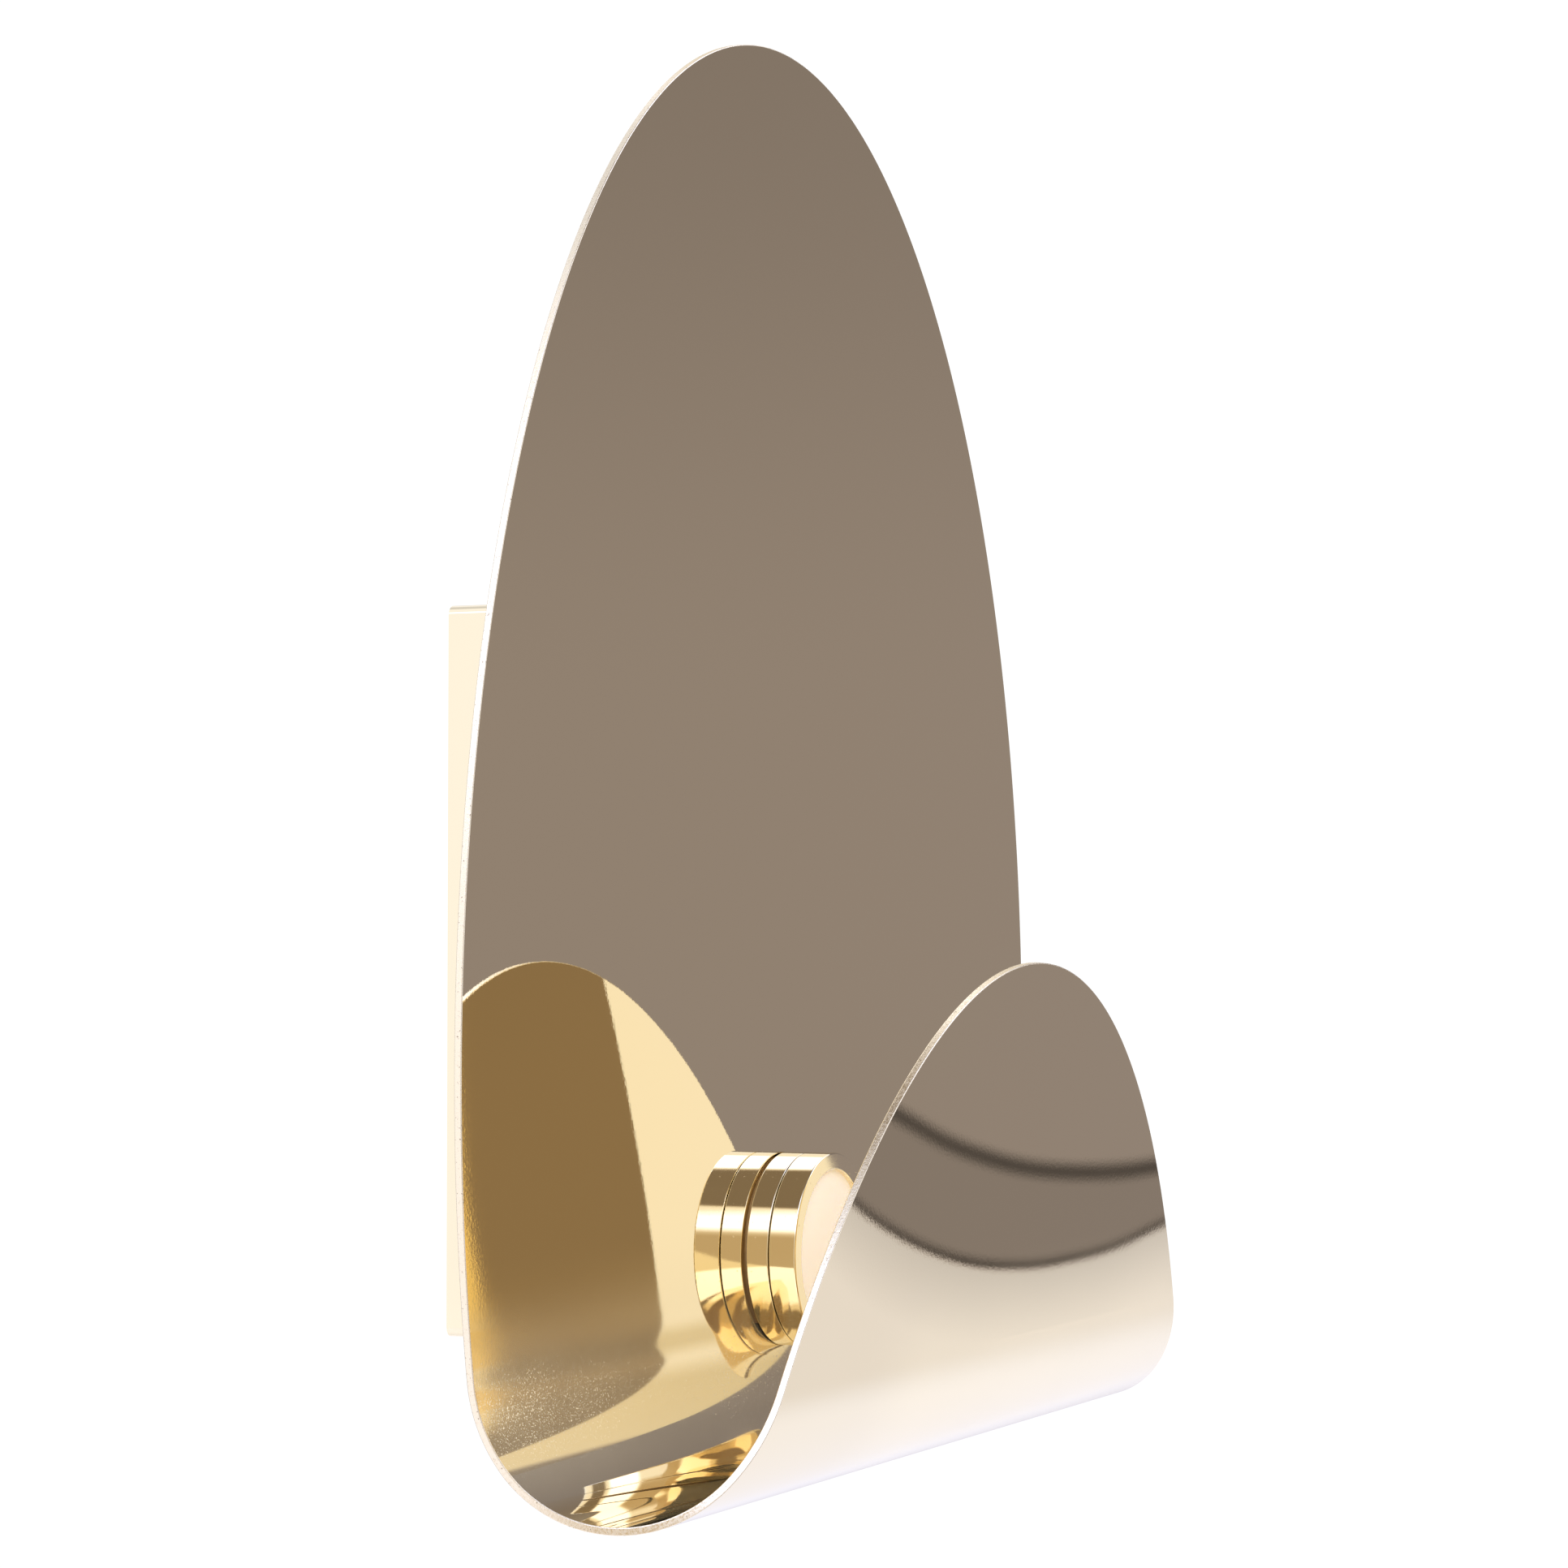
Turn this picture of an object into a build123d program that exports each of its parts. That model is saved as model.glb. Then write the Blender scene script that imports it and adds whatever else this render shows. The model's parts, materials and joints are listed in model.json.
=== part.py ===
"""Wall light: one mirror-polished brass oval, bent up at the bottom into a deep curl, with a small
turned lamp inside the curl, carried on a square wall box that hides the wiring.

Millimetres. X is across the wall, -Y points into the room, +Z is up. The origin is on the wall,
at the middle of the wall box.
"""

import os
from math import cos, degrees, radians, sin, sqrt, tan

from build123d import *

os.makedirs("parts", exist_ok=True)

# ---------------------------------------------------------------- driving dimensions
# Reflector: an oval blank of sheet brass
blank_half_height = 210.0
blank_half_width = 141.5
sheet = 1.5

# Bend, as inner radii: a tight crown between two easy shoulders
shoulder_radius = 29.0
shoulder_turn = 31.0
crown_radius = 22.5
bend_turn = 173.7

# Lamp
lamp_radius = 20.0
lamp_rise = 13.8             # lamp axis above the foot of the wall box
lamp_drop = 40.7             # lamp axis below the blank centre
foot_overhang = 5.45         # how far the lamp reaches below the start of the bend
gasket_height = 0.5
gasket_setback = 1.0         # inside the rim of the lamp
base_height = 4.8            # visible height of the base ring
base_floor = 1.8
land_height = 1.2            # step in the base that the board lies on
spigot_wall = 1.4
spigot_height = 3.2
bezel_wall = 2.35
bezel_lip = 1.1              # how far the bezel reaches in over the diffuser
bezel_lip_height = 1.0
bezel_gap = 0.2              # groove between base ring and bezel
bezel_clearance = 0.05       # running clearance on the spigot, per side
lens_seal_height = 0.5
diffuser_height = 1.4
lens_clearance = 0.2         # diffuser to bezel, per side
edge_break = 0.25            # broken edges on turned pieces
pad_height = 0.3
board_height = 1.0
board_clearance = 0.6        # board edge to spigot wall
board_screw_inset = 3.5      # screw axis from the board's edge
board_screw_radius = 1.0
board_head_radius = 1.7
board_head_height = 1.2
chip_size = 2.5
chip_height = 0.7
chip_step = 30.0             # degrees between chips round the screw circle

# Hollow nipple that clamps the lamp and carries its leads
nipple_radius = 5.0
nipple_bore = 3.4
nipple_head_radius = 7.4
nipple_head_height = 1.0
nipple_tail = 5.0            # beyond the canopy front, before the nut is counted
nipple_nut_across = 14.0
nipple_nut_height = 3.0
nipple_washer_radius = 9.5
nipple_washer_height = 1.0

# Wall box (canopy)
canopy_side = 144.0
canopy_depth = 39.0
canopy_wall = 1.5
canopy_corner = 2.0

# Studs welded to the back of the reflector
stud_radius = 2.0
stud_length = 10.0
stud_inset = 22.0            # from the sides of the wall box
stud_nut_across = 7.0
stud_nut_height = 3.2
stud_washer_radius = 4.5
stud_washer_height = 0.8

# Backplate on the wall
backplate_inset = 17.0       # sides of the backplate from the sides of the wall box
backplate_sheet = 1.5
wall_hole_radius = 2.5
wall_hole_inset_x = 10.0
wall_hole_inset_z = 18.0

# Angle brackets riveted to the backplate, which the canopy is screwed to
bracket_sheet = 1.5
bracket_width = 90.0
bracket_depth = 14.5         # from the front of the backplate
bracket_foot = 12.0
bracket_bend = 1.2           # radius outside its bend
canopy_clearance = 0.5       # canopy wall to bracket
rivet_radius = 1.6
rivet_head_radius = 3.0
rivet_head_height = 1.1
rivet_span = 36.0

# Screws that hold the canopy to the brackets
canopy_screw_radius = 2.0
canopy_screw_length = 8.0
canopy_screw_span = 60.0
canopy_screw_setback = 9.0   # from the wall
canopy_head_radius = 3.8
canopy_head_height = 2.2
canopy_socket_across = 2.5
canopy_socket_depth = 1.3
clinch_radius = 3.6
clinch_height = 3.0

# Cable grommet
grommet_bore = 5.0
grommet_neck = 8.0
grommet_lip_radius = 10.5
grommet_lip_height = 2.5

# Driver
driver_length = 62.0
driver_height = 32.0
driver_case_depth = 16.0
driver_lid_depth = 2.0
driver_wall = 1.6
driver_tab = 7.0
driver_tab_depth = 2.5
driver_inset = 7.0           # tab from the side of the backplate
driver_rise = 3.5            # case above the grommet
driver_board_height = 1.6
driver_board_gap = 3.0
driver_board_clearance = 0.4
driver_screw_radius = 1.5
driver_head_radius = 2.8
driver_head_height = 1.8
driver_outlet_radius = 1.4
lead_pitch = 6.0             # between the two leads of a pair at the driver
support_inset = 6.0
component_gap = 0.8          # transformer to lid
capacitor_gap = 1.6          # capacitors to lid
capacitor_radius = 3.5

# Terminal block, three poles
block_pitch = 10.0
block_height = 16.0
block_depth = 14.0
block_drop = 15.5            # block below the grommet
pole_size = 6.0
pole_length = 12.0
pole_clearance = 0.1
pole_centre = 7.0            # depth of the poles in the block, from the backplate
wire_hole_radius = 1.3
pole_screw_radius = 1.6
pole_screw_spacing = 6.6
pole_screw_sink = 1.0
block_screw_radius = 1.5
block_head_radius = 2.5
block_head_height = 1.8
block_head_sink = 1.5

# Earth point
earth_inset = 13.0           # from the side of the backplate
earth_z = -30.0
earth_screw_radius = 2.0
earth_head_radius = 3.6
earth_head_height = 2.4
earth_washer_radius = 4.4
earth_washer_height = 0.8
tag_radius = 4.2
tag_height = 0.8
tag_barrel_radius = 1.7
tag_barrel_start = 5.0       # from the screw axis
tag_barrel_length = 7.0

# Leads
lead_radius = 0.9
lead_side = 1.2              # each lamp lead beside the nipple axis

# Clearances shared by fixings
hole_clearance = 0.25        # screw or stud in a plain hole, per side
thread_clearance = 0.05      # screw in its thread, per side
end_clearance = 0.2          # screw tip short of the wall

# ---------------------------------------------------------------- worked-out places
lamp_z = lamp_rise - canopy_side / 2
blank_centre = lamp_z + lamp_drop
sheet_middle = -(canopy_depth + sheet / 2)
sheet_front = -(canopy_depth + sheet)
bend_start = lamp_drop + lamp_radius - foot_overhang
crown_turn = bend_turn - 2 * shoulder_turn
plate_length = blank_half_height + bend_start
stud_span = canopy_side - 2 * stud_inset
backplate_width = canopy_side - 2 * backplate_inset
backplate_height = canopy_side - 2 * (canopy_wall + canopy_clearance)
wall_hole_span_x = backplate_width - 2 * wall_hole_inset_x
wall_hole_span_z = backplate_height - 2 * wall_hole_inset_z
driver_x = driver_length / 2 + driver_tab + driver_inset - backplate_width / 2
driver_z = grommet_lip_radius + driver_rise + driver_height / 2
block_z = -(grommet_lip_radius + block_drop + block_height / 2)
earth_x = backplate_width / 2 - earth_inset
canopy_front_inside = -(canopy_depth - canopy_wall)
sheet_hole_radius = nipple_radius + hole_clearance


def facing(y, x=0.0, z=0.0):
    """Plane parallel to the wall: sketched x is X, sketched y is Z, and it extrudes to the front."""
    return Plane(origin=(x, y, z), x_dir=(1, 0, 0), z_dir=(0, -1, 0))


def upward(z, x=0.0, y=0.0):
    """Level plane: sketched x is X, sketched y is Y, and it extrudes upward."""
    return Plane(origin=(x, y, z), x_dir=(1, 0, 0), z_dir=(0, 0, 1))


def save(builder, name):
    """Label a finished piece and write it."""
    builder.part.label = name
    export_step(builder.part, f"parts/{name}.step")


# ---------------------------------------------------------------- reflector
bend_arcs = (
    (shoulder_radius + sheet / 2, shoulder_turn),
    (crown_radius + sheet / 2, crown_turn),
    (shoulder_radius + sheet / 2, shoulder_turn),
)
bend_length = sum(radius * radians(angle) for radius, angle in bend_arcs)
bend_section_turn = 6.0      # largest turn between two sections of the bend


def along_sheet(distance):
    """Middle of the sheet that far from the top tip, as y, z and the turn in degrees."""
    step = min(distance, plate_length)
    y = sheet_middle
    z = blank_centre + blank_half_height - step
    turn = 0.0
    left = distance - step
    for radius, angle in bend_arcs:
        here = min(degrees(left / radius), angle)
        after = turn + here
        y += radius * (cos(radians(after)) - cos(radians(turn)))
        z += radius * (sin(radians(turn)) - sin(radians(after)))
        left -= radius * radians(here)
        turn = after
    y -= left * sin(radians(turn))
    z -= left * cos(radians(turn))
    return y, z, turn


def half_width(distance):
    """Half the width of the blank that far from the top tip."""
    share = (distance - blank_half_height) / blank_half_height
    return blank_half_width * sqrt(1 - share * share)


def sheet_plane(distance):
    """Plane in the middle of the sheet: sketched y runs on along the sheet."""
    y, z, turn = along_sheet(distance)
    outward = (0, cos(radians(turn)), -sin(radians(turn)))
    return Plane(origin=(0, y, z), x_dir=(1, 0, 0), z_dir=outward)


def sheet_section(distance):
    """Plane square across the sheet."""
    y, z, turn = along_sheet(distance)
    travel = (0, -sin(radians(turn)), -cos(radians(turn)))
    return Plane(origin=(0, y, z), x_dir=(1, 0, 0), z_dir=travel)


def bend_stations():
    """Distances of the sections that the bend is lofted through."""
    stations = [plate_length]
    for radius, angle in bend_arcs:
        steps = int(angle / bend_section_turn) + 1
        start = stations[-1]
        for step in range(1, steps + 1):
            stations.append(start + radius * radians(angle) * step / steps)
    return stations


lip_start = plate_length + bend_length
blank_span = 4 * blank_half_height

with BuildPart() as reflector:
    with BuildSketch(sheet_plane(blank_half_height)):
        Ellipse(blank_half_width, blank_half_height)
        with Locations((0, bend_start)):
            Rectangle(blank_span, blank_span, align=(Align.CENTER, Align.MAX), mode=Mode.INTERSECT)
        with Locations((0, lamp_drop)):
            Circle(sheet_hole_radius, mode=Mode.SUBTRACT)
    extrude(amount=sheet / 2, both=True)
    with BuildSketch(sheet_plane(lip_start)):
        with Locations((0, blank_half_height - lip_start)):
            Ellipse(blank_half_width, blank_half_height)
        Rectangle(blank_span, blank_span, align=(Align.CENTER, Align.MIN), mode=Mode.INTERSECT)
    extrude(amount=sheet / 2, both=True)
    for distance in bend_stations():
        with BuildSketch(sheet_section(distance)):
            Rectangle(2 * half_width(distance), sheet)
    loft()
save(reflector, "reflector")

with BuildPart() as weld_studs:
    with BuildSketch(facing(-canopy_depth)):
        with GridLocations(stud_span, stud_span, 2, 2):
            Circle(stud_radius)
    extrude(amount=-stud_length)
    chamfer(weld_studs.faces().group_by(Axis.Y)[-1].edges(), stud_radius / 4)
save(weld_studs, "weld_studs")

with BuildPart() as stud_washers:
    with BuildSketch(facing(canopy_front_inside)):
        with GridLocations(stud_span, stud_span, 2, 2):
            Circle(stud_washer_radius)
            Circle(stud_radius + hole_clearance, mode=Mode.SUBTRACT)
    extrude(amount=-stud_washer_height)
save(stud_washers, "stud_washers")

with BuildPart() as stud_nuts:
    with BuildSketch(facing(canopy_front_inside + stud_washer_height)):
        with GridLocations(stud_span, stud_span, 2, 2):
            RegularPolygon(stud_nut_across / 2, 6, major_radius=False)
            Circle(stud_radius + thread_clearance, mode=Mode.SUBTRACT)
    extrude(amount=-stud_nut_height)
save(stud_nuts, "stud_nuts")

# ---------------------------------------------------------------- wall box
inner_side = canopy_side - 2 * canopy_wall

with BuildPart() as canopy:
    with BuildSketch(facing(0)):
        RectangleRounded(canopy_side, canopy_side, canopy_corner)
    extrude(amount=canopy_depth)
    with BuildSketch(facing(0)):
        RectangleRounded(inner_side, inner_side, canopy_corner - canopy_wall + end_clearance)
    extrude(amount=canopy_depth - canopy_wall, mode=Mode.SUBTRACT)
    with BuildSketch(facing(-canopy_depth)):
        with GridLocations(stud_span, stud_span, 2, 2):
            Circle(stud_radius + hole_clearance)
        with Locations((0, lamp_z)):
            Circle(sheet_hole_radius)
    extrude(amount=-canopy_wall, mode=Mode.SUBTRACT)
    with BuildSketch(upward(0, y=-canopy_screw_setback)):
        with GridLocations(canopy_screw_span, 1, 2, 1):
            Circle(canopy_screw_radius + hole_clearance)
    extrude(amount=canopy_side, both=True, mode=Mode.SUBTRACT)
save(canopy, "canopy")

with BuildPart() as canopy_screws:
    for side in (-1, 1):
        outside = side * canopy_side / 2
        with BuildSketch(upward(outside, y=-canopy_screw_setback)):
            with GridLocations(canopy_screw_span, 1, 2, 1):
                Circle(canopy_screw_radius)
        extrude(amount=-side * canopy_screw_length)
        with BuildSketch(upward(outside, y=-canopy_screw_setback)):
            with GridLocations(canopy_screw_span, 1, 2, 1):
                Circle(canopy_head_radius)
        extrude(amount=side * canopy_head_height)
    rims = canopy_screws.faces().filter_by(Axis.Z)
    chamfer((rims.sort_by(Axis.Z)[:2] + rims.sort_by(Axis.Z)[-2:]).edges(), canopy_head_height / 4)
    for side in (-1, 1):
        with BuildSketch(upward(side * (canopy_side / 2 + canopy_head_height), y=-canopy_screw_setback)):
            with GridLocations(canopy_screw_span, 1, 2, 1):
                RegularPolygon(canopy_socket_across / 2, 6, major_radius=False)
        extrude(amount=-side * canopy_socket_depth, mode=Mode.SUBTRACT)
save(canopy_screws, "canopy_screws")

# ---------------------------------------------------------------- backplate and what it carries
driver_screw_span = driver_length + driver_tab
block_screw_span = block_pitch
rivet_rows = backplate_height - bracket_sheet - bracket_foot

with BuildPart() as backplate:
    with BuildSketch(facing(0)):
        Rectangle(backplate_width, backplate_height)
    extrude(amount=backplate_sheet)
    with BuildSketch(facing(0)):
        with GridLocations(wall_hole_span_x, wall_hole_span_z, 2, 2):
            Circle(wall_hole_radius)
        Circle(grommet_neck)
        with Locations((driver_x, driver_z)):
            with GridLocations(driver_screw_span, 1, 2, 1):
                Circle(driver_screw_radius + thread_clearance)
        with Locations((0, block_z)):
            with GridLocations(block_screw_span, 1, 2, 1):
                Circle(block_screw_radius + thread_clearance)
        with Locations((earth_x, earth_z)):
            Circle(earth_screw_radius + thread_clearance)
        with GridLocations(rivet_span, rivet_rows, 2, 2):
            Circle(rivet_radius)
    extrude(amount=backplate_sheet, mode=Mode.SUBTRACT)
save(backplate, "backplate")

for side, name in ((1, "bracket_top"), (-1, "bracket_bottom")):
    inward = Align.MAX if side > 0 else Align.MIN
    with BuildPart() as bracket:
        with BuildSketch(facing(-backplate_sheet)):
            with Locations((0, side * backplate_height / 2)):
                Rectangle(bracket_width, bracket_foot, align=(Align.CENTER, inward))
        extrude(amount=bracket_sheet)
        with BuildSketch(facing(-backplate_sheet)):
            with Locations((0, side * backplate_height / 2)):
                Rectangle(bracket_width, bracket_sheet, align=(Align.CENTER, inward))
        extrude(amount=bracket_depth)
        outside_bend = bracket.edges().filter_by(Axis.X).group_by(Axis.Y)[-1].sort_by(Axis.Z)
        fillet(outside_bend[-1 if side > 0 else 0], bracket_bend)
        with BuildSketch(facing(-backplate_sheet)):
            with Locations((0, side * rivet_rows / 2)):
                with GridLocations(rivet_span, 1, 2, 1):
                    Circle(rivet_radius)
        extrude(amount=bracket_sheet, mode=Mode.SUBTRACT)
        with BuildSketch(upward(0, y=-canopy_screw_setback)):
            with GridLocations(canopy_screw_span, 1, 2, 1):
                Circle(canopy_screw_radius + hole_clearance)
        extrude(amount=side * canopy_side, mode=Mode.SUBTRACT)
    save(bracket, name)

with BuildPart() as bracket_rivets:
    rivet_seat = -(backplate_sheet + bracket_sheet)
    with BuildSketch(facing(0)):
        with GridLocations(rivet_span, rivet_rows, 2, 2):
            Circle(rivet_radius)
    extrude(amount=-rivet_seat)
    with BuildSketch(facing(rivet_seat)):
        with GridLocations(rivet_span, rivet_rows, 2, 2):
            Circle(rivet_head_radius)
    extrude(amount=rivet_head_height)
    fillet(bracket_rivets.faces().group_by(Axis.Y)[0].edges(), rivet_head_height * 0.8)
save(bracket_rivets, "bracket_rivets")

with BuildPart() as clinch_nuts:
    for side in (-1, 1):
        with BuildSketch(upward(side * (backplate_height / 2 - bracket_sheet), y=-canopy_screw_setback)):
            with GridLocations(canopy_screw_span, 1, 2, 1):
                Circle(clinch_radius)
                Circle(canopy_screw_radius + thread_clearance, mode=Mode.SUBTRACT)
        extrude(amount=-side * clinch_height)
save(clinch_nuts, "clinch_nuts")

with BuildPart() as cable_grommet:
    with BuildSketch(facing(0)):
        Circle(grommet_neck)
    extrude(amount=backplate_sheet)
    with BuildSketch(facing(-backplate_sheet)):
        Circle(grommet_lip_radius)
    extrude(amount=grommet_lip_height)
    fillet(cable_grommet.faces().sort_by(Axis.Y)[0].edges(), grommet_lip_height / 2)
    with BuildSketch(facing(0)):
        Circle(grommet_bore)
    extrude(amount=backplate_sheet + grommet_lip_height, mode=Mode.SUBTRACT)
save(cable_grommet, "cable_grommet")

# ---------------------------------------------------------------- terminal block
block_width = 3 * block_pitch
block_front = -(backplate_sheet + block_depth)
pole_y = -(backplate_sheet + pole_centre)
pole_pocket = pole_size + 2 * pole_clearance
pole_top = block_z + pole_length / 2

with BuildPart() as terminal_block:
    with BuildSketch(facing(-backplate_sheet)):
        with Locations((0, block_z)):
            RectangleRounded(block_width, block_height, edge_break * 4)
    extrude(amount=block_depth)
    with BuildSketch(facing(pole_y + pole_pocket / 2)):
        with Locations((0, block_z)):
            with GridLocations(block_pitch, 1, 3, 1):
                Rectangle(pole_pocket, pole_length + 2 * pole_clearance)
    extrude(amount=pole_pocket, mode=Mode.SUBTRACT)
    with BuildSketch(upward(block_z, y=pole_y)):
        with GridLocations(block_pitch, 1, 3, 1):
            Circle(wire_hole_radius)
    extrude(amount=block_height, both=True, mode=Mode.SUBTRACT)
    with BuildSketch(facing(block_front)):
        with Locations((0, block_z)):
            with GridLocations(block_pitch, pole_screw_spacing, 3, 2):
                Circle(pole_screw_radius + hole_clearance)
    extrude(amount=-(block_depth - pole_centre), mode=Mode.SUBTRACT)
    with BuildSketch(facing(0)):
        with Locations((0, block_z)):
            with GridLocations(block_screw_span, 1, 2, 1):
                Circle(block_screw_radius + hole_clearance)
    extrude(amount=backplate_sheet + block_depth, mode=Mode.SUBTRACT)
    with BuildSketch(facing(block_front)):
        with Locations((0, block_z)):
            with GridLocations(block_screw_span, 1, 2, 1):
                Circle(block_head_radius + hole_clearance)
    extrude(amount=-(block_head_sink + block_head_height), mode=Mode.SUBTRACT)
save(terminal_block, "terminal_block")

with BuildPart() as terminal_poles:
    with BuildSketch(facing(pole_y + pole_size / 2)):
        with Locations((0, block_z)):
            with GridLocations(block_pitch, 1, 3, 1):
                Rectangle(pole_size, pole_length)
    extrude(amount=pole_size)
save(terminal_poles, "terminal_poles")

pole_front = pole_y - pole_size / 2
with BuildPart() as pole_screws:
    with BuildSketch(facing(pole_front)):
        with Locations((0, block_z)):
            with GridLocations(block_pitch, pole_screw_spacing, 3, 2):
                Circle(pole_screw_radius)
    extrude(amount=pole_front - block_front - pole_screw_sink)
    slot_width = pole_screw_radius / 3
    with BuildSketch(facing(block_front + pole_screw_sink)):
        with Locations((0, block_z)):
            with GridLocations(block_pitch, pole_screw_spacing, 3, 2):
                Rectangle(2 * pole_screw_radius, slot_width)
    extrude(amount=-slot_width, mode=Mode.SUBTRACT)
save(pole_screws, "pole_screws")

with BuildPart() as block_screws:
    head_seat = block_front + block_head_sink + block_head_height
    with BuildSketch(facing(-end_clearance)):
        with Locations((0, block_z)):
            with GridLocations(block_screw_span, 1, 2, 1):
                Circle(block_screw_radius)
    extrude(amount=-head_seat - end_clearance)
    with BuildSketch(facing(head_seat)):
        with Locations((0, block_z)):
            with GridLocations(block_screw_span, 1, 2, 1):
                Circle(block_head_radius)
    extrude(amount=block_head_height)
    with BuildSketch(facing(head_seat - block_head_height)):
        with Locations((0, block_z)):
            with GridLocations(block_screw_span, 1, 2, 1):
                Rectangle(2 * block_head_radius, block_head_radius / 3)
    extrude(amount=-block_head_height / 2, mode=Mode.SUBTRACT)
save(block_screws, "block_screws")

# ---------------------------------------------------------------- driver
driver_inside = (driver_length - 2 * driver_wall, driver_height - 2 * driver_wall)
driver_front = -(backplate_sheet + driver_case_depth)
driver_board_y = -(backplate_sheet + driver_wall + driver_board_gap)
driver_end_right = driver_x + driver_length / 2
driver_end_left = driver_x - driver_length / 2
lead_y = driver_board_y - driver_board_height - 3 * lead_radius

with BuildPart() as driver_case:
    with BuildSketch(facing(-backplate_sheet)):
        with Locations((driver_x, driver_z)):
            RectangleRounded(driver_length, driver_height, driver_wall)
    extrude(amount=driver_case_depth)
    with BuildSketch(facing(-backplate_sheet)):
        with Locations((driver_x, driver_z)):
            Rectangle(driver_length + 2 * driver_tab, driver_height / 2)
    extrude(amount=driver_tab_depth)
    with BuildSketch(facing(-backplate_sheet - driver_wall)):
        with Locations((driver_x, driver_z)):
            Rectangle(*driver_inside)
    extrude(amount=driver_case_depth - driver_wall, mode=Mode.SUBTRACT)
    with BuildSketch(facing(-backplate_sheet)):
        with Locations((driver_x, driver_z)):
            with GridLocations(driver_screw_span, 1, 2, 1):
                Circle(driver_screw_radius + hole_clearance)
    extrude(amount=driver_tab_depth, mode=Mode.SUBTRACT)
    with BuildSketch(Plane(origin=(driver_x, lead_y, driver_z), x_dir=(0, 1, 0), z_dir=(1, 0, 0))):
        with GridLocations(1, lead_pitch, 1, 2):
            Circle(driver_outlet_radius)
    extrude(amount=driver_length, both=True, mode=Mode.SUBTRACT)
save(driver_case, "driver_case")

with BuildPart() as driver_lid:
    with BuildSketch(facing(driver_front)):
        with Locations((driver_x, driver_z)):
            RectangleRounded(driver_length, driver_height, driver_wall)
    extrude(amount=driver_lid_depth)
    fillet(driver_lid.faces().sort_by(Axis.Y)[0].edges(), driver_lid_depth / 2)
    with BuildSketch(facing(driver_front)):
        with Locations((driver_x, driver_z)):
            Rectangle(driver_inside[0] - 2 * pole_clearance, driver_inside[1] - 2 * pole_clearance)
            Rectangle(driver_inside[0] - 2 * driver_wall, driver_inside[1] - 2 * driver_wall,
                      mode=Mode.SUBTRACT)
    extrude(amount=-driver_wall)
save(driver_lid, "driver_lid")

with BuildPart() as driver_supports:
    support_spacing = [side - 2 * support_inset for side in driver_inside]
    with BuildSketch(facing(-backplate_sheet - driver_wall)):
        with Locations((driver_x, driver_z)):
            with GridLocations(*support_spacing, 2, 2):
                Circle(driver_wall)
    extrude(amount=driver_board_gap)
save(driver_supports, "driver_supports")

with BuildPart() as driver_board:
    with BuildSketch(facing(driver_board_y)):
        with Locations((driver_x, driver_z)):
            Rectangle(driver_inside[0] - 2 * driver_board_clearance,
                      driver_inside[1] - 2 * driver_board_clearance)
    extrude(amount=driver_board_height)
save(driver_board, "driver_board")

component_front = driver_board_y - driver_board_height
component_room = component_front - driver_front - driver_wall
with BuildPart() as driver_transformer:
    with BuildSketch(facing(component_front)):
        with Locations((driver_x, driver_z)):
            Rectangle(driver_length / 4, driver_height / 2)
    extrude(amount=component_room - component_gap)
    fillet(driver_transformer.edges().filter_by(Axis.Y), driver_wall)
save(driver_transformer, "driver_transformer")

with BuildPart() as driver_capacitors:
    with BuildSketch(facing(component_front)):
        with Locations((driver_x - driver_length / 4, driver_z + driver_height / 5),
                       (driver_x + driver_length / 4, driver_z - driver_height / 5)):
            Circle(capacitor_radius)
    extrude(amount=component_room - capacitor_gap)
    fillet(driver_capacitors.faces().group_by(Axis.Y)[0].edges(), capacitor_radius / 4)
save(driver_capacitors, "driver_capacitors")


def flat_head_screws(points, seat, shank_radius, head_radius, head_height):
    """Slotted screws into the backplate, as one builder: seat is where the heads sit."""
    with BuildPart() as screws:
        with BuildSketch(facing(-end_clearance)):
            with Locations(points):
                Circle(shank_radius)
        extrude(amount=-seat - end_clearance)
        with BuildSketch(facing(seat)):
            with Locations(points):
                Circle(head_radius)
        extrude(amount=head_height)
        fillet(screws.faces().group_by(Axis.Y)[0].edges(), head_height / 3)
        with BuildSketch(facing(seat - head_height)):
            with Locations(points):
                Rectangle(3 * head_radius, head_radius / 4)
        extrude(amount=-head_height / 2, mode=Mode.SUBTRACT)
    return screws


driver_screws = flat_head_screws(
    [(driver_x + side * driver_screw_span / 2, driver_z) for side in (-1, 1)],
    -(backplate_sheet + driver_tab_depth), driver_screw_radius, driver_head_radius, driver_head_height)
save(driver_screws, "driver_screws")

# ---------------------------------------------------------------- earth point
tag_front = -(backplate_sheet + tag_height)
washer_front = tag_front - earth_washer_height
tag_barrel_y = -(backplate_sheet + tag_barrel_radius)

with BuildPart() as earth_tag:
    with BuildSketch(facing(-backplate_sheet)):
        with Locations((earth_x, earth_z)):
            Circle(tag_radius)
            Rectangle(2 * tag_barrel_radius, tag_barrel_start + tag_height,
                      align=(Align.CENTER, Align.MIN))
            Circle(earth_screw_radius + hole_clearance, mode=Mode.SUBTRACT)
    extrude(amount=tag_height)
    with BuildSketch(upward(earth_z + tag_barrel_start, x=earth_x, y=tag_barrel_y)):
        Circle(tag_barrel_radius)
    extrude(amount=tag_barrel_length)
save(earth_tag, "earth_tag")

with BuildPart() as earth_washer:
    with BuildSketch(facing(tag_front)):
        with Locations((earth_x, earth_z)):
            Circle(earth_washer_radius)
            Circle(earth_screw_radius + hole_clearance, mode=Mode.SUBTRACT)
    extrude(amount=earth_washer_height)
save(earth_washer, "earth_washer")

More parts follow.
